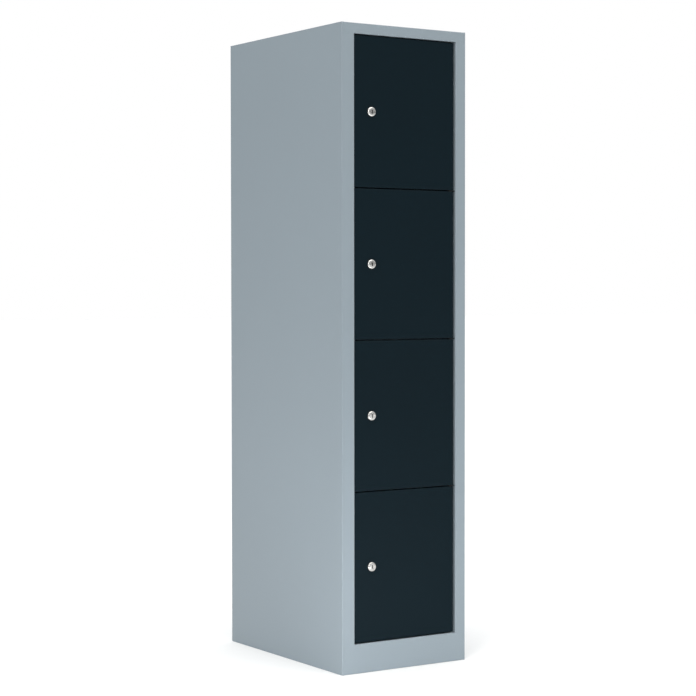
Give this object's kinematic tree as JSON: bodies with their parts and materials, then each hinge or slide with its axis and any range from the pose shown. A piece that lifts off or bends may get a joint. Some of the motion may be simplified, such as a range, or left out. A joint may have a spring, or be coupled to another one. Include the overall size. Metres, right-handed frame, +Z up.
{
  "type": "locker cabinet",
  "caption": "Tall narrow sheet-steel locker cabinet: stacked compartments behind flush, pivot-hung, cam-locked doors in a light frame with a closed plinth.",
  "frame": {"origin": "centre of the cabinet's footprint, on the floor", "axes": "+X to the right seen from the front, +Y towards the back, +Z up; the doors face -Y"},
  "size_m": [0.42, 0.6229, 1.8],
  "materials": {
    "body_paint": "light blue-grey powder coat, satin",
    "door_paint": "anthracite powder coat, satin",
    "lock_chrome": "polished plate",
    "zinc_steel": "zinc plate",
    "black_zinc": "zinc plate, black passivated",
    "nylon": "moulded",
    "rubber": "matt",
    "grey_plastic": "moulded",
    "foot_plastic": "moulded"
  },
  "bodies": {
    "root": {"left_side_panel": "body_paint", "right_side_panel": "body_paint", "back_panel": "body_paint", "roof_panel": "body_paint", "floor_panel": "body_paint", "plinth_front": "body_paint", "rear_base_rail": "body_paint", "hinge_plates": "black_zinc", "hinge_pins": "black_zinc", "door_buffers": "rubber", "leveller_brackets": "body_paint", "leveller_nuts": "zinc_steel", "access_plugs": "grey_plastic", "shelf_1": "body_paint", "shelf_2": "body_paint", "shelf_3": "body_paint"},
    "door_1": {"door_1_panel": "door_paint", "door_1_bushes": "nylon", "door_1_lock_body": "lock_chrome", "door_1_lock_nut": "zinc_steel"},
    "lock_1": {"lock_1_plug": "lock_chrome", "lock_1_cam": "zinc_steel", "lock_1_screw": "zinc_steel"},
    "door_2": {"door_2_panel": "door_paint", "door_2_bushes": "nylon", "door_2_lock_body": "lock_chrome", "door_2_lock_nut": "zinc_steel"},
    "lock_2": {"lock_2_plug": "lock_chrome", "lock_2_cam": "zinc_steel", "lock_2_screw": "zinc_steel"},
    "door_3": {"door_3_panel": "door_paint", "door_3_bushes": "nylon", "door_3_lock_body": "lock_chrome", "door_3_lock_nut": "zinc_steel"},
    "lock_3": {"lock_3_plug": "lock_chrome", "lock_3_cam": "zinc_steel", "lock_3_screw": "zinc_steel"},
    "door_4": {"door_4_panel": "door_paint", "door_4_bushes": "nylon", "door_4_lock_body": "lock_chrome", "door_4_lock_nut": "zinc_steel"},
    "lock_4": {"lock_4_plug": "lock_chrome", "lock_4_cam": "zinc_steel", "lock_4_screw": "zinc_steel"},
    "foot_front_left": {"foot_front_left": "foot_plastic"},
    "foot_front_right": {"foot_front_right": "foot_plastic"},
    "foot_rear_left": {"foot_rear_left": "foot_plastic"},
    "foot_rear_right": {"foot_rear_right": "foot_plastic"}
  },
  "joints": [
    {"name": "door_1_hinge", "type": "hinge", "parent": "root", "child": "door_1", "pos_m": [0.161, -0.3, 1.55875], "axis": [0, 0, 1], "range_deg": [0, 110]},
    {"name": "lock_1_turn", "type": "hinge", "parent": "door_1", "child": "lock_1", "pos_m": [-0.111, -0.306, 1.55875], "axis": [0, 1, 0], "range_deg": [0, 90]},
    {"name": "door_2_hinge", "type": "hinge", "parent": "root", "child": "door_2", "pos_m": [0.161, -0.3, 1.13725], "axis": [0, 0, 1], "range_deg": [0, 110]},
    {"name": "lock_2_turn", "type": "hinge", "parent": "door_2", "child": "lock_2", "pos_m": [-0.111, -0.306, 1.13725], "axis": [0, 1, 0], "range_deg": [0, 90]},
    {"name": "door_3_hinge", "type": "hinge", "parent": "root", "child": "door_3", "pos_m": [0.161, -0.3, 0.71575], "axis": [0, 0, 1], "range_deg": [0, 110]},
    {"name": "lock_3_turn", "type": "hinge", "parent": "door_3", "child": "lock_3", "pos_m": [-0.111, -0.306, 0.71575], "axis": [0, 1, 0], "range_deg": [0, 90]},
    {"name": "door_4_hinge", "type": "hinge", "parent": "root", "child": "door_4", "pos_m": [0.161, -0.3, 0.29425], "axis": [0, 0, 1], "range_deg": [0, 110]},
    {"name": "lock_4_turn", "type": "hinge", "parent": "door_4", "child": "lock_4", "pos_m": [-0.111, -0.306, 0.29425], "axis": [0, 1, 0], "range_deg": [0, 90]},
    {"name": "foot_front_left_screw_out", "type": "slide", "parent": "root", "child": "foot_front_left", "axis": [0, 0, -1], "range_m": [0, 0.012]},
    {"name": "foot_front_right_screw_out", "type": "slide", "parent": "root", "child": "foot_front_right", "axis": [0, 0, -1], "range_m": [0, 0.012]},
    {"name": "foot_rear_left_screw_out", "type": "slide", "parent": "root", "child": "foot_rear_left", "axis": [0, 0, -1], "range_m": [0, 0.012]},
    {"name": "foot_rear_right_screw_out", "type": "slide", "parent": "root", "child": "foot_rear_right", "axis": [0, 0, -1], "range_m": [0, 0.012]}
  ]
}
